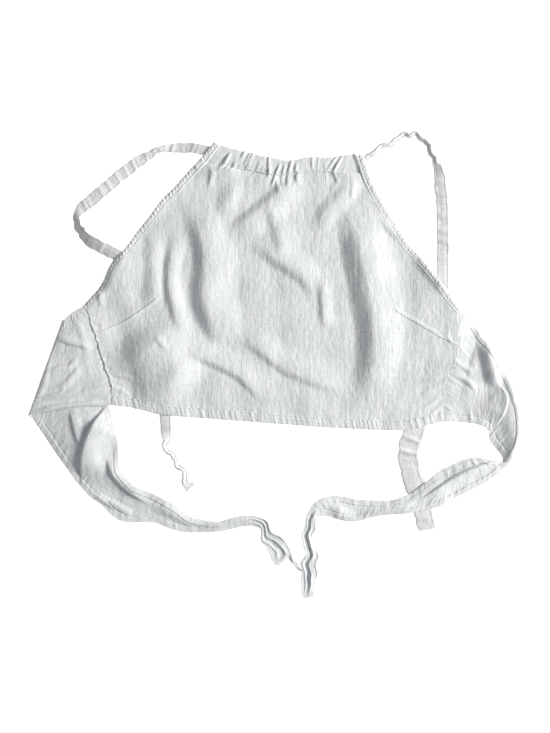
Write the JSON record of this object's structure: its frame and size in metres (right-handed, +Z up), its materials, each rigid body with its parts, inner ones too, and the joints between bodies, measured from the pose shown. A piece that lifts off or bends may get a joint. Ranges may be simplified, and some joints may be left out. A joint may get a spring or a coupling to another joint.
{
  "type": "halter neck top",
  "caption": "White linen halter neck top laid flat: darted front gathered at the neck, bound armholes, back wings tapering into ties, and loose neck ties",
  "frame": {"origin": "The middle of the laid-out top's bounding box, on the surface that it lies on.", "axes": "+Z is up, out of the garment's front, +Y runs towards the neck edge, and +X runs to the right as the front is seen from above."},
  "size_m": [0.591, 0.5614, 0.0132],
  "materials": {
    "white_linen": "matt slubby plain weave",
    "tie_linen": "matt slubby plain weave"
  },
  "bodies": {
    "root": {"front_panel": "white_linen", "front_hem": "white_linen", "neck_casing": "white_linen", "armhole_binding_left": "white_linen", "armhole_binding_right": "white_linen", "back_wing_left": "white_linen", "back_wing_right": "white_linen", "neck_tie_left": "tie_linen", "neck_tie_right": "tie_linen"}
  },
  "joints": []
}
